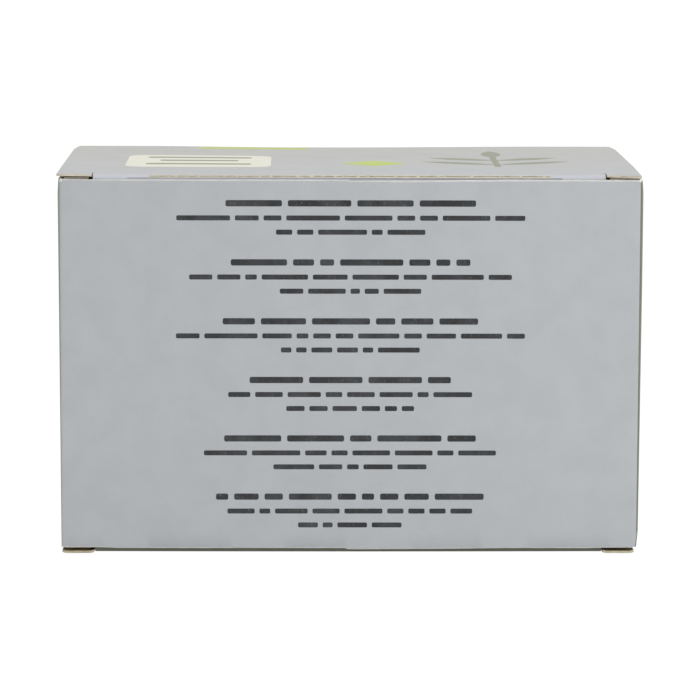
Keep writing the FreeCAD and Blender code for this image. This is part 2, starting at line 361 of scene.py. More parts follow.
class Bench:
    """Holds one piece in edit mode while it is shaped."""

    def __init__(self, piece: Piece) -> None:
        """Take a piece on to the bench."""
        self.piece = piece

    def __enter__(self) -> "Bench":
        """Go into edit mode with only this piece selected."""
        pick(self.piece)
        bpy.ops.object.mode_set(mode="EDIT")
        bpy.ops.mesh.select_mode(type="VERT")
        return self

    def __exit__(self, *problem: object) -> None:
        """Go back to object mode."""
        bpy.ops.object.mode_set(mode="OBJECT")

    def select(self, kind: str, parts: str, test: Callable[..., bool]) -> None:
        """Select only the parts of one kind that pass a test."""
        bpy.ops.mesh.select_mode(type=kind)
        bpy.ops.mesh.select_all(action="DESELECT")
        for part in getattr(bmesh.from_edit_mesh(self.piece.data), parts):
            if test(part):
                part.select_set(True)
        bmesh.update_edit_mesh(self.piece.data)

    def faces(self, test: Callable[[Vector], bool]) -> None:
        """Select the faces whose centre passes a test."""
        self.select("FACE", "faces", lambda face: test(face.calc_center_median()))

    def edges(self, test: Callable[[Vector], bool]) -> None:
        """Select the edges whose two ends both pass a test."""
        self.select("EDGE", "edges", lambda edge: all(test(end.co) for end in edge.verts))

    def corners(self, test: Callable[[Vector], bool]) -> None:
        """Select the corners that pass a test."""
        self.select("VERT", "verts", lambda corner: test(corner.co))

    def slice(self, axis: int, places: Spot) -> None:
        """Cut new edges through everything at these places along an axis."""
        normal = [0.0, 0.0, 0.0]
        normal[axis] = 1.0
        for place in places:
            point = [0.0, 0.0, 0.0]
            point[axis] = place
            bpy.ops.mesh.select_all(action="SELECT")
            bpy.ops.mesh.bisect(plane_co=point, plane_no=normal)

    def fold_over(self, radius: float, along: Vector, toward: Vector, steps: int = 5) -> None:
        """Extrude the selected edges round a quarter turn, from one direction to another."""
        quarter = math.pi / 2
        before = Vector()
        for step in range(1, steps + 1):
            angle = quarter * step / steps
            now = radius * (math.sin(angle) * along + (1 - math.cos(angle)) * toward)
            self.pull(now - before)
            before = now

    def pull(self, offset: Vector) -> None:
        """Extrude the selected edges by an offset."""
        bpy.ops.mesh.extrude_edges_move(TRANSFORM_OT_translate={"value": tuple(offset)})

    def paint(self, finish: Finish) -> None:
        """Give the selected faces one of the piece's finishes."""
        slot = self.piece.data.materials.find(finish.material.name)
        self.piece.active_material_index = slot
        bpy.ops.object.material_slot_assign()


def grid(low: float, high: float, pitch: float) -> list[float]:
    """Return evenly spaced places between two ends, without the ends."""
    count = max(1, round((high - low) / pitch))
    return [low + (high - low) * step / count for step in range(1, count)]


def start(add: Callable[..., object], **settings: object) -> Piece:
    """Add a primitive on its own, put its place into its mesh, and return it."""
    bpy.ops.object.select_all(action="DESELECT")
    add(**settings)
    bpy.ops.object.transform_apply(location=True, rotation=True, scale=True)
    return bpy.context.object


def use(piece: Piece, kind: str, settings: dict) -> None:
    """Add a modifier, set it and apply it."""
    pick(piece)
    modifier = piece.modifiers.new(kind.lower(), kind)
    for name, value in settings.items():
        setattr(modifier, name, value)
    bpy.ops.object.modifier_apply(modifier=modifier.name)


def thicken(piece: Piece, board: float) -> None:
    """Give a sheet its board: slot 1 behind, slot 2 round the edges, and worn arrises."""
    count = len(piece.data.polygons)
    use(piece, "SOLIDIFY", {"thickness": board, "offset": -1.0, "use_even_offset": True})
    for face in piece.data.polygons:
        if face.index >= count:
            face.material_index = 1 if face.index < 2 * count else 2
    use(piece, "BEVEL", {"width": ARRIS, "segments": 1, "limit_method": "ANGLE",
                         "angle_limit": math.radians(60)})
    pick(piece)
    bpy.ops.object.shade_smooth_by_angle(angle=math.radians(40))


def move_points(piece: Piece, shift: Callable[[Vector], Vector]) -> None:
    """Send every corner of a mesh through a shift."""
    for corner in piece.data.vertices:
        corner.co = shift(corner.co.copy())
    piece.data.update()


def hand_over(piece: Piece) -> None:
    """Tie a finished piece to the carton's body, hide the carton's CAD node and log its faces."""
    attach(piece, BODY)
    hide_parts(NODE)
    LOG.info("%s: %d faces", piece.name, len(piece.data.polygons))


# The carton


class End(Enum):
    """The two closures: their names, and which way they face."""

    LID = 1
    BASE = -1


@dataclass(frozen=True)
class Swell:
    """How one side panel stands out: by how much, over what run, up to what level, least share."""

    reach: float
    run: float
    level: float
    low_share: float


@dataclass(frozen=True)
class RawEdge:
    """How high a raw edge sits, in mm: at its start, and its rises between two places across."""

    start: float
    rises: tuple[tuple[float, float, float], ...]

    def lift(self, across: float) -> float:
        """Return how high the edge sits at this place, in metres."""
        rises = (rise * smooth(low * MM, high * MM, across) for rise, low, high in self.rises)
        return (self.start + sum(rises)) * MM


@dataclass(frozen=True)
class Carton:
    """Sizes that all the pieces share, and how the filled carton has settled."""

    high: Vector
    board: float = 0.5 * MM
    closure_rise: float = 1.3 * MM
    bow_room: float = 1.6 * MM
    left: Swell = Swell(1.0 * MM, 13 * MM, 84 * MM, 0.5)
    right: Swell = Swell(0.97 * MM, 9 * MM, 60 * MM, 0.62)
    climb_curve: float = 0.9
    bow_fade: Pair = (1.0 * MM, 0.3 * MM)
    lean_right: float = 0.6 * MM
    lean_rise: float = 3 * MM
    upright_fold: float = 0.6 * MM
    hinge_fold: float = 0.45 * MM
    edge_step: float = 0.2 * MM
    lid_overhang: float = 0.6 * MM
    base_overhang: float = -0.1 * MM
    lock_width: float = 7.3 * MM
    ink_room: float = 0.03 * MM
    near_dish: float = 0.16 * MM
    near_sag: float = 0.19 * MM
    far_sag: float = 0.3 * MM
    sag_rim: float = 14 * MM
    hollow: tuple[float, float, float, float] = (-50 * MM, -12 * MM, -5 * MM, 52 * MM)
    corner_droop: float = 0.34 * MM
    droop_depth: float = 24 * MM
    tuck_fold: float = 1.0 * MM
    tuck_gap: float = 0.03 * MM

    @property
    def half_width(self) -> float:
        """Half the near panel, to its upright folds."""
        return self.high.x - self.bow_room

    @property
    def half_depth(self) -> float:
        """Half the depth, face to face."""
        return self.high.y

    @property
    def near(self) -> float:
        """Where the near panel's face is along Y."""
        return -self.half_depth

    @property
    def height(self) -> float:
        """Height from the floor to the lid's face."""
        return self.high.z

    @property
    def middle(self) -> float:
        """Height of the middle."""
        return self.height / 2

    @property
    def near_top(self) -> float:
        """Height of the near panel's upper raw edge, left half."""
        return self.height - self.closure_rise

    @property
    def lock_inner(self) -> float:
        """Distance from the middle to the inner end of a slit lock."""
        return self.half_width - self.lock_width

    @property
    def fold_start(self) -> float:
        """Where along Y a flat closure turns into its tuck."""
        return self.near + self.board + self.tuck_gap + self.tuck_fold

    def rim(self, up: int) -> float:
        """Return the height of the raw edges at the top (1) or at the bottom (-1)."""
        return self.near_top if up > 0 else self.closure_rise

    def bow(self, point: Vector) -> Vector:
        """Stand the side panels out, most below the lid and least at the base."""
        right = point.x > 0
        swell = self.right if right else self.left
        run = min(max((self.half_depth - abs(point.y)) / swell.run, 0.0), 1.0)
        lead = 1 - (1 - run) ** 2
        climb = min(max(point.z / swell.level, 0.0), 1.0) ** self.climb_curve
        low_part = swell.low_share + (1 - swell.low_share) * climb
        below, above = self.bow_fade
        high_part = 1 - smooth(self.near_top - below, self.near_top + above, point.z)
        out = swell.reach * lead * low_part * high_part
        return self.lean(point) + (out if right else -out) * X

    def lean(self, point: Vector) -> Vector:
        """Push the right folds out a little, less at the base."""
        reach = smooth(self.half_width / 2, self.half_width, point.x)
        up = smooth(0.0, self.lean_rise, point.z)
        return point + self.lean_right * reach * up * X

    def dish(self, point: Vector) -> Vector:
        """Sink the near and far panels a little between their folds."""
        across = 1 - (point.x / self.half_width) ** 2
        up = 1 - (2 * point.z / self.height - 1) ** 4
        depth = self.ink_room + self.near_dish * max(across, 0.0) * max(up, 0.0)
        return self.lean(point) - math.copysign(depth, point.y) * Y

    def sag(self, point: Vector) -> Vector:
        """Let the lid down between its sides, most at the hinge, and at its right free corner."""
        half, rim = self.half_width, self.sag_rim
        inside = smooth(-half, rim - half, point.x) * (1 - smooth(half - rim, half, point.x))
        start, full, still, end = self.hollow
        hollow = smooth(start, full, point.x) * (1 - smooth(still, end, point.x))
        back = smooth(self.near, self.half_depth, point.y)
        free = 1 - smooth(self.near, self.near + self.droop_depth, point.y)
        droop = self.corner_droop * smooth(self.lock_inner, half, point.x) * free
        down = self.near_sag * inside * (1 - back) + self.far_sag * hollow * back + droop
        return point - (self.ink_room + down) * Z


@dataclass
class Sleeve:
    """The four panels in one wrap, with the dust flaps folded in at both ends."""

    carton: Carton
    column_pitch: float = 2.0 * MM
    row_pitch: float = 3.5 * MM
    flap_reach: float = 24 * MM
    flap_setback: float = 5 * MM
    shoulder: Pair = (0.25 * MM, 5.4 * MM)
    shoulder_gap: float = 0.75 * MM
    base_shoulder_gap: float = 1.7 * MM
    flap_drop: float = 0.3 * MM
    crush: float = 0.24 * MM
    crush_depth: float = 0.2 * MM
    wobble: float = 0.012 * MM
    waves: tuple[Pair, ...] = ((2900, 0.0), (1270, 1.3))
    top_edge: RawEdge = RawEdge(0.04, ((0.3, 0, 40), (0.16, -56.7, -64)))
    base_left_edge: RawEdge = RawEdge(-0.2, ((0.2, -50, -57),))
    base_right_edge: RawEdge = RawEdge(-0.29, ((0.29, 0, 42), (0.1, 54, 57)))
    lift_fade: Pair = (1 * MM, 4 * MM)
    bowed_rim: float = 3 * MM
    fray: float = 0.6 * MM
    fray_run: float = 0.75 * MM
    left_print_edge: float = 0.03 * MM
    fold_edge: float = 0.3 * MM
    step_run: float = 0.12 * MM
    steps: int = 6

    def build(self) -> Piece:
        """Make the sleeve.

        Returns:
            The finished piece.
        """
        walls = self._walls()
        with Bench(walls) as bench:
            self._fold_flaps(bench)
            self._raise_far_panel(bench)
            self._lower_right_half(bench)
        move_points(walls, self._settled)
        dress(walls, Finish.GREY_BOARD, Finish.INNER_BOARD, Finish.RAW_BOARD_EDGE,
              Finish.OLIVE_BOARD, Finish.PANEL_RIM_HIGHLIGHT, Finish.FRAYED_FIBRE)
        with Bench(walls) as bench:
            self._colour(bench)
        thicken(walls, self.carton.board)
        walls.name = "sleeve"
        return walls

    def _right_half(self, across: float) -> bool:
        """Say whether a place is past the step in the near panel's raw edges."""
        return across > self.step_run / 4

    def _walls(self) -> Piece:
        """Start from a box between the near panel's raw edges, open it and round its folds."""
        carton = self.carton
        bottom, top = carton.closure_rise, carton.near_top
        walls = start(
            bpy.ops.mesh.primitive_cube_add, size=1, location=(0, 0, (bottom + top) / 2),
            scale=(2 * carton.half_width, 2 * carton.half_depth, top - bottom))
        with Bench(walls) as bench:
            bench.select("FACE", "faces", lambda face: abs(face.normal.z) > 0.9)
            bpy.ops.mesh.delete(type="FACE")
            bench.select("EDGE", "edges",
                         lambda edge: abs(edge.verts[0].co.z - edge.verts[1].co.z) > TOUCH)
            bpy.ops.mesh.bevel(offset=carton.upright_fold, segments=self.steps, affect="EDGES")
            half_x = carton.half_width - carton.upright_fold
            half_y = carton.half_depth - carton.upright_fold
            bench.slice(0, grid(-half_x, half_x, self.column_pitch) + [self.step_run / 2])
            bench.slice(1, grid(-half_y, half_y, self.row_pitch)
                        + [carton.near + self.flap_setback])
            bench.slice(2, grid(bottom, top, self.row_pitch)
                        + [top - self.fray, top - self.crush, bottom + self.crush])
        return walls

    def _fold_flaps(self, bench: Bench) -> None:
        """Turn the side panels in over a small fold, at the top and at the bottom."""
        carton = self.carton
        radius = carton.closure_rise - carton.board
        first = carton.near + self.flap_setback
        last = carton.half_depth - carton.upright_fold
        start, length = self.shoulder
        outer = carton.half_width - radius - start + TOUCH
        inner = outer - length - 2 * TOUCH
        for up in (1, -1):
            rim = carton.rim(up)
            level = rim + up * radius
            gap = self.shoulder_gap if up > 0 else self.base_shoulder_gap
            for side in (1, -1):
                bench.edges(lambda point: side * point.x > carton.half_width - TOUCH
                            and abs(point.z - rim) < TOUCH
                            and first - TOUCH < point.y < last + TOUCH)
                bench.fold_over(radius, up * Z, -side * X)
                for reach in (start, length, self.flap_reach - start - length):
                    bench.pull(-side * reach * X)
                bench.edges(lambda point: point.y < first + TOUCH and abs(point.z - level) < TOUCH
                            and inner < side * point.x < outer)
                bench.pull((gap - self.flap_setback) * Y)

    def _raise_far_panel(self, bench: Bench) -> None:
        """Extend the far panel to both hinges."""
        carton = self.carton
        for up in (1, -1):
            bench.edges(lambda point: abs(point.z - carton.rim(up)) < TOUCH
                        and point.y > carton.half_depth - TOUCH)
            bench.pull(up * (carton.closure_rise - carton.hinge_fold) * Z)

    def _lower_right_half(self, bench: Bench) -> None:
        """Let the right half of the near panel's raw edges sit lower, and crush the edges' rims."""
        carton = self.carton
        for up in (1, -1):
            rim = carton.rim(up)
            inner = rim - up * self.crush
            bench.corners(lambda point: point.y < carton.near + TOUCH and self._right_half(point.x)
                          and min(abs(point.z - rim), abs(point.z - inner)) < TOUCH)
            bpy.ops.transform.translate(value=(0, 0, -carton.edge_step))

    def _settled(self, point: Vector) -> Vector:
        """Bow the side panels, dish the long ones and fray the raw edges."""
        carton = self.carton
        reach = carton.near_top - carton.middle + carton.edge_step + TOUCH
        if point.y < carton.near + carton.board / 2 and abs(point.z - carton.middle) < reach:
            return self._settled_near(point)
        if point.y > carton.half_depth - TOUCH:
            point = carton.dish(point)
            if point.z > carton.near_top + TOUCH:
                point.z = carton.sag(Vector((point.x, carton.half_depth, point.z))).z
            return point
        inward = carton.half_width - abs(point.x)
        if inward > carton.board:
            drop = self.flap_drop * smooth(carton.board, 2 * carton.board, inward)
            point.z += drop if point.z < carton.middle else -drop
        return carton.bow(point) if inward < self.bowed_rim else point

    def _settled_near(self, point: Vector) -> Vector:
        """Dish the near panel, crush its rims and lift its raw edges to their lines."""
        carton, across = self.carton, point.x
        below = point.z < carton.closure_rise + TOUCH
        crushed = below or point.z > carton.near_top - carton.edge_step - TOUCH
        point = carton.dish(point)
        if crushed:
            point.y += self.crush_depth
            waves = (math.sin(across * rate + start) for rate, start in self.waves)
            point.z += self.wobble * sum(waves)
        close, clear = self.lift_fade
        if point.z < carton.middle:
            edge = self.base_right_edge if self._right_half(across) else self.base_left_edge
            start = carton.closure_rise
            point.z += edge.lift(across) * (1 - smooth(start + close, start + clear, point.z))
        else:
            end = carton.near_top
            point.z += self.top_edge.lift(across) * smooth(end - clear, end - close, point.z)
        return point

    def _colour(self, bench: Bench) -> None:
        """Give the side panels their olive print and the near panel's crushed rims a pale painted
        highlight.
        """
        carton = self.carton
        right = carton.half_width + carton.lean_right
        bench.faces(lambda centre: centre.x > right - self.fold_edge
                    or -centre.x > carton.half_width - self.left_print_edge
                    or abs(centre.z - carton.middle) > carton.middle - carton.closure_rise
                    and abs(centre.y) < carton.half_depth - self.fold_edge)
        bench.paint(Finish.OLIVE_BOARD)

        def is_rim(centre: Vector) -> bool:
            """Say whether a face is in the near panel's crushed rims."""
            level = centre.z + (carton.edge_step if self._right_half(centre.x) else 0.0)
            near = centre.y < carton.near + carton.board and abs(centre.x) < carton.half_width
            return near and not (carton.closure_rise + self.crush <= level
                                 <= carton.near_top - self.crush)
        # Painted highlight on the near panel's crushed rims.
        bench.faces(is_rim)
        bench.paint(Finish.PANEL_RIM_HIGHLIGHT)
        bench.faces(lambda centre: centre.z > carton.near_top - self.fray
                    and centre.y < carton.near + self.fold_edge
                    and (centre.x > right - self.fray_run
                         or -centre.x > carton.half_width - self.fray_run))
        bench.paint(Finish.FRAYED_FIBRE)


@dataclass
class Closure:
    """The lid or the base: a sheet hinged on the far panel, tucked in behind the near one."""

    carton: Carton
    end: End
    tuck_reach: float = 12 * MM
    corner: float = 0.75 * MM
    return_length: float = 5.0 * MM
    return_width: float = 0.22 * MM
    relief_length: float = 11 * MM
    relief_width: float = 0.9 * MM
    relief_curve: float = 1.6
    pitch: float = 4 * MM
    first_row: float = 8 * MM
    tip_columns: tuple[float, ...] = (0.3, 0.7, 6.2, 6.6, 6.9)
    score_half: float = 44.5 * MM
    score_band: Pair = (0.72, 0.08)
    base_arch: float = 0.18 * MM
    arch_depth: float = 16 * MM
    arch_middle: float = 0.55
    tip_curl: float = 0.22 * MM
    curl_run: float = 0.9 * MM
    curl_depth: float = 4 * MM

    @property
    def half_width(self) -> float:
        """Half the closure's width."""
        carton = self.carton
        lid = self.end is End.LID
        return carton.half_width + (carton.lid_overhang if lid else carton.base_overhang)

    @property
    def slit(self) -> Pair:
        """The inner and the outer side of a short return, from the middle."""
        half = self.return_width / 2
        return self.carton.lock_inner - half, self.carton.lock_inner + half

    def build(self) -> Piece:
        """Make the closure at the top, and turn it over if it is the base.

        Returns:
            The finished piece.
        """
        sheet = self._flat()
        dress(sheet, *self._finishes())
        with Bench(sheet) as bench:
            self._cut_locks(bench)
            self._turn_tuck(bench)
            self._turn_hinge(bench)
            self._colour(bench)
        move_points(sheet, self._taper)
        if self.end is End.LID:
            move_points(sheet, self.carton.sag)
        else:
            move_points(sheet, self._arched)
            with Bench(sheet):
                bpy.ops.mesh.select_all(action="SELECT")
                bpy.ops.transform.resize(
                    value=(1, 1, self.end.value), center_override=(0, 0, self.carton.middle))
                bpy.ops.mesh.flip_normals()
        thicken(sheet, self.carton.board)
        sheet.name = self.end.name.lower()
        return sheet

    def _finishes(self) -> tuple[Finish, ...]:
        """List the sheet's finishes: outside, inside, cut edge, score and fold; on the lid the fold
        is a painted highlight, and on the base the fold and the cut edge are painted shade.
        """
        if self.end is End.LID:
            return (Finish.LID_BOARD, Finish.INNER_BOARD, Finish.RAW_BOARD_EDGE,
                    Finish.SCORED_FOLD, Finish.FOLD_HIGHLIGHT_BOARD)
        return (Finish.OLIVE_BOARD, Finish.INNER_BOARD, Finish.SHADED_BASE_RAW_EDGE,
                Finish.SCORED_FOLD, Finish.BASE_FOLD_PAINTED_SHADE)

    def _colour(self, bench: Bench) -> None:
        """Give the tuck's fold its painted light, a painted highlight on the lid and painted shade
        on the base, and on the lid the bared board along the cut score.
        """
        carton = self.carton
        bench.faces(lambda centre: centre.y < carton.fold_start
                    and abs(centre.x) < carton.lock_inner)
        bench.paint(self._finishes()[-1])
        if self.end is End.LID:
            low, high = (carton.height - share * carton.tuck_fold for share in self.score_band)
            bench.faces(lambda centre: low < centre.z < high
                        and centre.y < carton.fold_start and abs(centre.x) < self.score_half)
            bench.paint(Finish.SCORED_FOLD)

    def _flat(self) -> Piece:
        """Start from a flat sheet at the lid's height, from the near face to the hinge fold."""
        carton = self.carton
        near, far = carton.near, carton.half_depth - carton.hinge_fold
        middle = (0, (near + far) / 2, carton.height)
        sheet = start(bpy.ops.mesh.primitive_plane_add, size=1, location=middle)
        with Bench(sheet) as bench:
            bpy.ops.mesh.select_all(action="SELECT")
            bpy.ops.transform.resize(
                value=(2 * self.half_width, far - near, 1), center_override=middle)
            bench.corners(lambda point: point.y < near + TOUCH)
            bpy.ops.mesh.bevel(offset=self.corner, segments=5, affect="VERTICES")
            inner, outer = self.slit
            columns = [outer + step * MM for step in self.tip_columns]
            columns += [inner, outer, self.score_half]
            bench.slice(0, grid(-inner, inner, self.pitch)
                        + [side * place for side in (-1, 1) for place in columns])
            bench.slice(1, grid(near + self.first_row, far, self.pitch)
                        + [carton.fold_start, near + self.return_length,
                           carton.half_depth - self.relief_length])
        return sheet

    def _cut_locks(self, bench: Bench) -> None:
        """Cut away the strip where the tuck will turn, and the two short returns."""
        inner, outer = self.slit
        returns_end = self.carton.near + self.return_length
        bench.faces(lambda centre:
                    (abs(centre.x) < inner and centre.y < self.carton.fold_start)
                    or (inner < abs(centre.x) < outer and centre.y < returns_end))
        bpy.ops.mesh.delete(type="FACE")

    def _turn_tuck(self, bench: Bench) -> None:
        """Turn the near edge down between the locks, and run it in behind the near panel."""
        bench.edges(lambda point: abs(point.y - self.carton.fold_start) < TOUCH
                    and abs(point.x) < self.slit[0] + TOUCH)
        bench.fold_over(self.carton.tuck_fold, -Y, -Z, 7)
        bench.pull(-self.tuck_reach * Z)

    def _turn_hinge(self, bench: Bench) -> None:
        """Turn the far edge down to meet the far panel."""
        far = self.carton.half_depth - self.carton.hinge_fold
        bench.edges(lambda point: point.y > far - TOUCH)
        bench.fold_over(self.carton.hinge_fold, Y, -Z, 6)

    def _taper(self, point: Vector) -> Vector:
        """Bring the sides in towards the hinge, on a curve."""
        start = self.carton.half_depth - self.relief_length
        share = min(max((point.y - start) / self.relief_length, 0.0), 1.0)
        scale = 1 - self.relief_width / self.half_width * share ** self.relief_curve
        return Vector((point.x * scale, point.y, point.z))

    def _arched(self, point: Vector) -> Vector:
        """Draw the base up between its slits, so that its free corners stand lowest."""
        carton = self.carton
        place = abs(point.x)
        across = place / carton.lock_inner
        if across > 1:
            tip = smooth(self.half_width - self.curl_run, self.half_width, place)
            root = 1 - smooth(carton.lock_inner, carton.lock_inner + self.curl_run, place)
            free = 1 - smooth(carton.near, carton.near + self.curl_depth, point.y)
            return point - self.tip_curl * free * (tip + root) * Z
        free = 1 - smooth(carton.near, carton.near + self.arch_depth, point.y)
        share = self.arch_middle + (1 - self.arch_middle) * across ** 2
        return point - self.base_arch * free * share * Z


# The print


class Panel(Enum):
    """The printed faces, each with a flat drawing seen from outside: U to the right, V up."""

    NEAR = "near_print"
    FAR = "far_print"
    LEFT = "left_print"
    RIGHT = "right_print"
    LID = "lid_print"
    FOLD = "fold_score"


@dataclass(frozen=True)
class Bar:
    """A bar on a drawing, in mm: middle, size, ink, corner radius, inks up, degrees to the left."""

    centre: Spot
    size: Spot
    tone: Finish
    corner: float = 0.0
    layer: int = 1
    turn: float = 0.0


@dataclass
class Press:
    """Prints one panel: shapes are drawn flat, carried on to the panel and given a thickness."""

    carton: Carton
    panel: Panel
    lift: float = 0.014 * MM
    film: float = 0.05 * MM
    pitch: float = 4 * MM

    def __enter__(self) -> "Press":
        """Start with an empty sheet on the bench."""
        self.sheet = start(bpy.ops.mesh.primitive_plane_add, size=MM)
        self.bench = Bench(self.sheet)
        dress(self.sheet, Finish.BLACK_INK, Finish.SAGE_INK, Finish.LIME_INK, Finish.CREAM_INK,
              Finish.OLIVE_BOARD, Finish.CUT_SLIT_SHADE, Finish.CREASE_SHADE)
        self.bench.__enter__()
        bpy.ops.mesh.select_all(action="SELECT")
        bpy.ops.mesh.delete(type="VERT")
        return self

    def __exit__(self, *problem: object) -> None:
        """Cut the shapes into small cells, carry them on to the panel and hand the piece over."""
        reach = self.carton.half_width
        for axis in (0, 1):
            self.bench.slice(axis, grid(-reach, reach, self.pitch))
        self.bench.__exit__()
        move_points(self.sheet, self._carried)
        use(self.sheet, "SOLIDIFY", {"thickness": self.film, "offset": -1.0})
        self.sheet.name = self.panel.value
        hand_over(self.sheet)

    def _place(self, point: Spot, layer: int) -> Vector:
        """Deselect all, and return a drawn point's place on the bench."""
        bpy.ops.mesh.select_all(action="DESELECT")
        return Vector((point[0] * MM, point[1] * MM, layer * self.lift))

    def bar(self, bar: Bar) -> None:
        """Draw a bar."""
        place = self._place(bar.centre, bar.layer)
        bpy.ops.mesh.primitive_plane_add(size=MM, location=place)
        bpy.ops.transform.resize(value=(*bar.size, 1), center_override=place)
        self.bench.paint(bar.tone)
        if bar.turn:
            bpy.ops.transform.rotate(
                value=-math.radians(bar.turn), orient_axis="Z", center_override=place)
        if bar.corner:
            bpy.ops.mesh.bevel(offset=bar.corner * MM, segments=4, affect="VERTICES")

    def disc(self, centre: Spot, radius: float, tone: Finish, layer: int) -> None:
        """Draw a disc, with its lengths in mm."""
        bpy.ops.mesh.primitive_circle_add(
            vertices=48, radius=radius * MM, fill_type="NGON", location=self._place(centre, layer))
        self.bench.paint(tone)

    def leaf(self, root: Spot, length: float, width: float, turn: float, tone: Finish,
             layer: int) -> None:
        """Draw a leaf from its root, in mm, turned to the left from the right-hand direction."""
        angle = math.radians(turn)
        along = Vector((math.cos(angle), math.sin(angle), 0))
        middle = self._place(root, layer) + length / 2 * MM * along
        bpy.ops.mesh.primitive_circle_add(
            vertices=4, radius=length / 2 * MM, fill_type="NGON", location=middle)
        self.bench.paint(tone)
        bpy.ops.transform.resize(value=(1, width / length, 1), center_override=middle)
        bpy.ops.transform.rotate(value=-angle, orient_axis="Z", center_override=middle)
        side = width / 2 * MM
        self.bench.corners(lambda point: abs((point - middle).dot(along)) < 0.2 * side
                           and abs((point - middle).length - side) < 0.04 * side
                           and abs(point.z - middle.z) < self.lift / 10)
        bpy.ops.mesh.bevel(offset_type="PERCENT", offset_pct=62, segments=7, affect="VERTICES")

    def _carried(self, point: Vector) -> Vector:
        """Carry a drawn point on to the panel; its height is its distance off the board."""
        carton = self.carton
        across, up, off = point
        level = carton.middle + up
        if self.panel in (Panel.NEAR, Panel.FAR):
            out = 1 if self.panel is Panel.FAR else -1
            place = Vector((-out * across, out * carton.half_depth, level))
            return carton.dish(place) + out * off * Y
        if self.panel in (Panel.LEFT, Panel.RIGHT):
            out = 1 if self.panel is Panel.RIGHT else -1
            place = Vector((out * carton.half_width, out * across, level))
            return carton.bow(place) + out * off * X
        if self.panel is Panel.LID:
            return carton.sag(Vector((across, up, carton.height))) + off * Z
        angle = -up / carton.tuck_fold
        radius = carton.tuck_fold + off
        return carton.sag(Vector((across, carton.fold_start - radius * math.sin(angle),
                                  carton.height - carton.tuck_fold + radius * math.cos(angle))))


@dataclass(frozen=True)
class Sprig:
    """A stem, pairs of leaves and one at the tip, as shares of its size, which is in mm."""

    root: Spot
    size: float
    tone: Finish
    layer: int = 1
    stem: Pair = (0.035, 0.64)
    pairs: tuple[Pair, ...] = ((0.12, 0.46), (0.38, 0.4))
    tip: Pair = (0.58, 0.42)
    leaf_width: float = 0.17
    spread: float = 28

    def draw(self, press: Press) -> None:
        """Draw the sprig."""
        width, height = (share * self.size for share in self.stem)
        across, up = self.root
        press.bar(Bar((across, up + height / 2), (width, height), self.tone, 0.0, self.layer))
        leaves = [(level, length, turn) for level, length in self.pairs
                  for turn in (self.spread, 180 - self.spread)]
        for level, length, turn in leaves + [(*self.tip, 90)]:
            press.leaf((across, up + level * self.size), length * self.size,
                       self.leaf_width * self.size, turn, self.tone, self.layer)


@dataclass(frozen=True)
class Caption:
    """A few lines, in mm: the first one's middle, how long they are, their pitch and print."""

    first: Spot
    lines: tuple[float, ...]
    pitch: float
    size: Pair
    layer: int


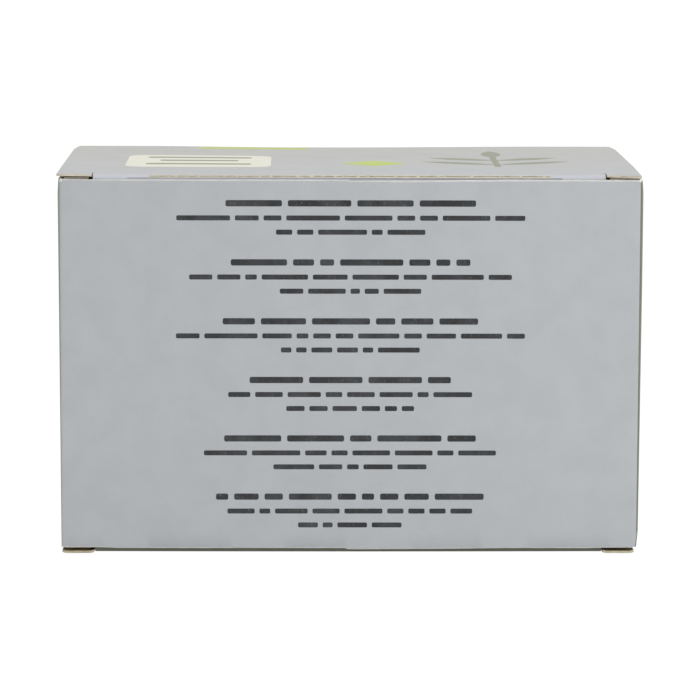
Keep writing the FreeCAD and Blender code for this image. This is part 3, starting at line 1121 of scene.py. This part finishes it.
@dataclass
class PrintWorks:
    """Lays out the print on every panel, in mm: fields of colour, leaves and word bars.

    A block of small print is given by the lengths of its heading and its two lines, and a size
    of print by how high its bars are and how wide a letter is.
    """

    carton: Carton
    blocks: tuple[tuple[float, float, float], ...] = (
        (55.3, 77.0, 33.0), (53.0, 71.4, 31.3), (56.6, 77.3, 30.8),
        (44.7, 54.2, 28.4), (56.0, 65.0, 34.1), (59.7, 54.6, 23.1),
    )
    first_line: float = 5.95
    block_pitch: float = 13.13
    line_pitch: float = 3.14
    shift: float = 0.28
    heading: Pair = (1.4, 1.55)
    heading_rise: float = 0.78
    body: Pair = (1.12, 1.25)
    body_rise: float = 0.66
    word_letters: tuple[int, ...] = (2, 3, 3, 4, 5, 6, 7, 8, 9)
    word_gap: float = 0.85
    word_corner: float = 0.28
    plaque: tuple[Bar, ...] = (
        Bar((-34, -3), (33, 31), Finish.CREAM_INK, 4),
        Bar((-34, 6.5), (24, 3.2), Finish.SAGE_INK, 1, 2),
        Bar((-34, -1.5), (18, 3.2), Finish.SAGE_INK, 1, 2),
        Bar((-34, -10.5), (24, 3.2), Finish.SAGE_INK, 1, 2),
    )
    strip: Bar = Bar((-22, 34.6), (26, 5), Finish.LIME_INK, 0.8)
    lozenge: Bar = Bar((6, -8), (11, 11), Finish.LIME_INK, 1.2, 1, 45)
    lid_sprig: Sprig = Sprig((34, -17), 42, Finish.SAGE_INK)
    far_field: Bar = Bar((0, 0), (118, 73), Finish.SAGE_INK, 3)
    far_disc: tuple[Pair, float] = ((-26, 4), 26)
    far_sprig: Sprig = Sprig((-26, -13), 34, Finish.OLIVE_BOARD, 3)
    far_label: Bar = Bar((30, 13), (42, 8), Finish.CREAM_INK, 2, 2)
    far_band: Bar = Bar((0, -31), (118, 4.5), Finish.LIME_INK, 0.0, 2)
    far_caption: Caption = Caption((30, 2), (34, 40, 27), 5.4, (1.7, 2.4), 2)
    side_sprig: Sprig = Sprig((0, -2), 24, Finish.CREAM_INK)
    side_caption: Caption = Caption((0, -12), (30, 24, 16), 4.4, (1.3, 2.0), 1)
    score_half: float = 44.2
    score_drop: float = 0.86
    nick_width: float = 0.12
    nick_length: Pair = (1.0, 6.0)
    nick_gap: Pair = (0.25, 0.8)
    # Painted shade: thin grey-blue lines at the foot of the lid's fold, above the near panel's
    # edge.
    crease_shade_bars: tuple[Bar, ...] = (
        Bar((-24.5, -1.32), (49, 0.17), Finish.CREASE_SHADE),
        Bar((23.5, -1.42), (47, 0.3), Finish.CREASE_SHADE),
    )
    chance: random.Random = field(default_factory=lambda: random.Random(11))

    def build(self) -> None:
        """Print every panel."""
        for panel, draw in (
                (Panel.NEAR, self._near), (Panel.LID, self._lid), (Panel.FAR, self._far),
                (Panel.LEFT, self._side), (Panel.RIGHT, self._side), (Panel.FOLD, self._score)):
            with Press(self.carton, panel) as press:
                draw(press)

    def _line(self, press: Press, centre: Spot, width: float, size: Pair,
              tone: Finish, layer: int = 1) -> None:
        """Fill a line with word bars of chance lengths."""
        height, letter = size
        gap = self.word_gap * letter
        lengths: list[float] = []
        while sum(lengths) + gap * len(lengths) < width - 2 * letter:
            lengths.append(letter * self.chance.choice(self.word_letters))
        share = (width - gap * (len(lengths) - 1)) / sum(lengths)
        left = centre[0] - width / 2
        for length in lengths:
            word = length * share
            press.bar(Bar((left + word / 2, centre[1]), (word, height), tone,
                          self.word_corner * height, layer))
            left += word + gap

    def _caption(self, press: Press, caption: Caption) -> None:
        """Print a few cream lines."""
        across, up = caption.first
        for row, width in enumerate(caption.lines):
            self._line(press, (across, up - row * caption.pitch), width, caption.size,
                       Finish.CREAM_INK, caption.layer)

    def _near(self, press: Press) -> None:
        """Print the near panel: six blocks of small print."""
        base = (self.carton.near_top - self.carton.middle) / MM - self.first_line
        for heading, *lines in self.blocks:
            self._line(press, (self.shift, base + self.heading_rise), heading, self.heading,
                       Finish.BLACK_INK)
            for row, width in enumerate(lines, 1):
                self._line(press, (self.shift, base + self.body_rise - row * self.line_pitch),
                           width, self.body, Finish.BLACK_INK)
            base -= self.block_pitch

    def _lid(self, press: Press) -> None:
        """Print the lid: a plaque with bars, a lime strip and lozenge, and a sprig."""
        for bar in (*self.plaque, self.strip, self.lozenge):
            press.bar(bar)
        self.lid_sprig.draw(press)

    def _far(self, press: Press) -> None:
        """Print the far panel: a sage field, a sprig on a disc, a lime band and bars."""
        for bar in (self.far_field, self.far_label, self.far_band):
            press.bar(bar)
        press.disc(*self.far_disc, Finish.CREAM_INK, 2)
        self.far_sprig.draw(press)
        self._caption(press, self.far_caption)

    def _side(self, press: Press) -> None:
        """Print a side panel: a cream sprig over three bars."""
        self.side_sprig.draw(press)
        self._caption(press, self.side_caption)

    def _score(self, press: Press) -> None:
        """Mark the nicks of the cut score along the lid's fold, dark with painted shade, and the
        painted shade line under them.
        """
        place = -self.score_half
        while place < self.score_half:
            length = min(self.chance.uniform(*self.nick_length), self.score_half - place)
            # Painted shade: each nick is a dark bar where the cut score opens.
            press.bar(Bar((place + length / 2, -self.score_drop), (length, self.nick_width),
                          Finish.CUT_SLIT_SHADE))
            place += length + self.chance.uniform(*self.nick_gap)
        for shade_line in self.crease_shade_bars:
            press.bar(shade_line)


# The studio


@dataclass
class Studio:
    """The floor, the camera and the soft lamps: name, place, side and power."""

    camera_place: tuple[float, float, float] = (-0.0130, -0.8512, 0.15596)
    pitch_down: float = 7.723
    turn: float = -0.931
    roll: float = 0.184
    focal_share: float = 3696.2 / 700
    sensor: float = 36.0
    floor_size: float = 30.0
    world_level: float = 0.62
    aim: tuple[float, float, float] = (0.0, 0.0, 0.04)
    lamps: tuple[tuple[str, Spot, float, float], ...] = (
        ("key", (0.3, -1.5, 1.7), 1.4, 11.0),
        ("fill", (1.3, -0.9, 0.8), 1.2, 5.0),
        ("top", (0.0, 0.2, 1.9), 1.6, 6.0),
    )

    def build(self) -> None:
        """Set everything up."""
        self._floor()
        self._world()
        for lamp in self.lamps:
            self._hang(*lamp)
        self._camera()
        bpy.context.scene.view_settings.view_transform = "Standard"

    def _floor(self) -> None:
        """Lay a wide floor under the carton."""
        floor = start(bpy.ops.mesh.primitive_plane_add, size=self.floor_size)
        floor.name = "floor"
        dress(floor, Finish.PALE_FLOOR)

    def _world(self) -> None:
        """Light softly from all round, and show white."""
        shader = Shader("soft_room", world=True)
        level = self.world_level + (1 - self.world_level) * seen_share(shader)
        sky = shader.node("ShaderNodeBackground", {}, {"Color": WHITE, "Strength": level})
        bpy.context.scene.world = shader.finish(sky)

    def _hang(self, name: str, place: Spot, size: float, watts: float) -> None:
        """Hang a square lamp that looks at the carton's middle."""
        light = bpy.data.lights.new(name, "AREA")
        light.size = size
        light.energy = watts
        lamp = bpy.data.objects.new(name, light)
        lamp.location = place
        aim = Vector(self.aim) - Vector(place)
        lamp.rotation_euler = aim.to_track_quat("-Z", "Y").to_euler()
        bpy.context.scene.collection.objects.link(lamp)

    def _camera(self) -> None:
        """Stand the camera in front, a little above the lid."""
        lens = bpy.data.cameras.new("camera")
        lens.sensor_width = self.sensor
        lens.lens = self.focal_share * self.sensor
        camera = bpy.data.objects.new("camera", lens)
        turned = (Matrix.Rotation(math.radians(self.turn), 4, "Z")
                  @ Matrix.Rotation(math.radians(90 - self.pitch_down), 4, "X")
                  @ Matrix.Rotation(math.radians(self.roll), 4, "Z"))
        camera.matrix_world = Matrix.Translation(self.camera_place) @ turned
        bpy.context.scene.collection.objects.link(camera)
        bpy.context.scene.camera = camera


def main() -> None:
    """Build every piece in order and report it."""
    logging.basicConfig(level=logging.INFO)
    carton = Carton(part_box(NODE)[1])
    hand_over(Sleeve(carton).build())
    for end in End:
        hand_over(Closure(carton, end).build())
    PrintWorks(carton).build()
    Studio().build()


if __name__ == "__main__":
    main()
